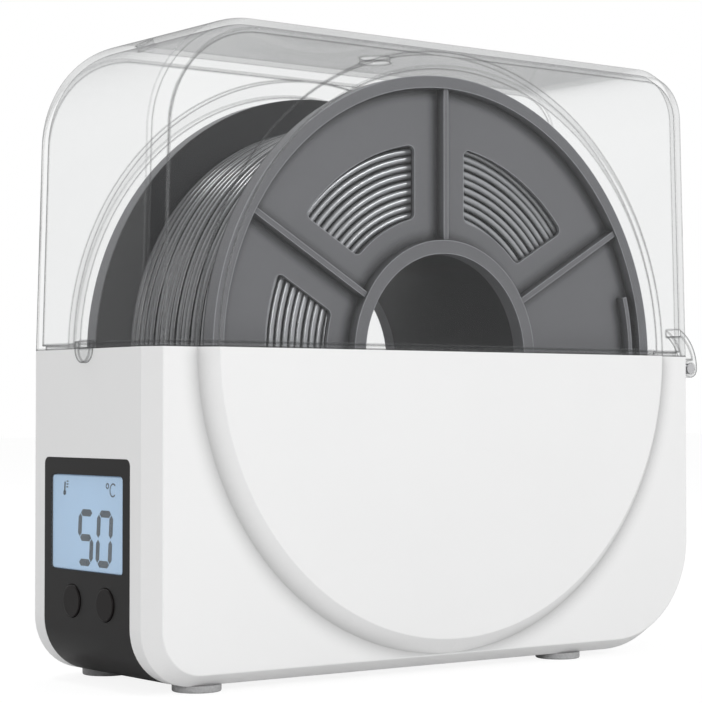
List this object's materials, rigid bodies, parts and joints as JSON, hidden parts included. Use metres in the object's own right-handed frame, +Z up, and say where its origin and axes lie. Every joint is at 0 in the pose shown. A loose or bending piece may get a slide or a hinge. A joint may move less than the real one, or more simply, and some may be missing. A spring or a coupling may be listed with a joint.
{
  "type": "filament dryer box",
  "caption": "White heated base with display and keys, clear lid hinged at the rear end with filament outlets, and a wound spool that turns on rollers inside.",
  "frame": {"origin": "bottom centre of the part's box, on the surface that the feet stand on", "axes": "+X from the display end to the hinge end, +Y to the far broad side, +Z up"},
  "size_m": [0.2656, 0.097, 0.231],
  "materials": {
    "white_plastic": "satin moulded",
    "clear_plastic": "clear polished",
    "black_plastic": "satin",
    "key_plastic": "semi-gloss",
    "clear_lens": "clear polished",
    "lcd_glass": "polarised",
    "backlight": "translucent",
    "circuit_board": "solder mask",
    "steel": "plated",
    "foot_rubber": "matte",
    "aluminium": "rolled",
    "heating_film": "polyimide",
    "nylon": "moulded",
    "bronze": "sintered",
    "cradle_plastic": "moulded",
    "spool_plastic": "moulded",
    "filament": "silky",
    "probe": "epoxy",
    "lead_sleeve": "matte"
  },
  "bodies": {
    "base": {"base_shell": "white_plastic", "chamber_trough": "white_plastic", "heater_plate": "aluminium", "heating_film": "heating_film", "roller_bushings": "bronze", "front_panel": "black_plastic", "lcd_window": "clear_lens", "lcd_display": "lcd_glass", "lcd_backlight": "backlight", "control_board": "circuit_board", "tact_switches": "black_plastic", "board_screws": "steel", "base_screws": "steel", "cradle_screws": "steel", "dc_jack": "black_plastic", "dc_jack_nut": "steel", "thermistor": "probe", "power_lead": "lead_sleeve", "heater_lead": "lead_sleeve", "sensor_lead": "lead_sleeve", "hinge_pin_near": "steel", "hinge_pin_far": "steel", "foot_front_near": "foot_rubber", "foot_front_far": "foot_rubber", "foot_rear_near": "foot_rubber", "foot_rear_far": "foot_rubber", "roller_cradle_front": "cradle_plastic", "roller_cradle_rear": "cradle_plastic"},
    "lid": {"lid_shell": "clear_plastic"},
    "spool": {"spool_near_half": "spool_plastic", "spool_far_half": "spool_plastic", "filament_core": "filament", "filament_winding": "filament"},
    "front_roller": {"front_roller_axle": "steel", "front_roller_near": "nylon", "front_roller_far": "nylon"},
    "rear_roller": {"rear_roller_axle": "steel", "rear_roller_near": "nylon", "rear_roller_far": "nylon"},
    "button_left": {"button_left": "key_plastic"},
    "button_right": {"button_right": "key_plastic"}
  },
  "joints": [
    {"name": "lid_open", "type": "hinge", "parent": "base", "child": "lid", "pos_m": [0.129, 0, 0.1122], "axis": [0, 1, 0], "range_deg": [0, 100]},
    {"name": "spool_spin", "type": "hinge", "parent": "base", "child": "spool", "pos_m": [-0.0037, 0, 0.1152], "axis": [0, 1, 0], "continuous": true},
    {"name": "front_roller_spin", "type": "hinge", "parent": "base", "child": "front_roller", "pos_m": [-0.06754, 0, 0.02403], "axis": [0, 1, 0], "continuous": true},
    {"name": "rear_roller_spin", "type": "hinge", "parent": "base", "child": "rear_roller", "pos_m": [0.06014, 0, 0.02403], "axis": [0, 1, 0], "continuous": true},
    {"name": "button_left_press", "type": "slide", "parent": "base", "child": "button_left", "axis": [1, 0, 0], "range_m": [0, 0.0006], "stiffness_N_per_m": 600},
    {"name": "button_right_press", "type": "slide", "parent": "base", "child": "button_right", "axis": [1, 0, 0], "range_m": [0, 0.0006], "stiffness_N_per_m": 600}
  ],
  "couplings": [
    {"joint": "front_roller_spin", "follows": "spool_spin", "ratio": -12.059},
    {"joint": "rear_roller_spin", "follows": "spool_spin", "ratio": -12.059}
  ]
}
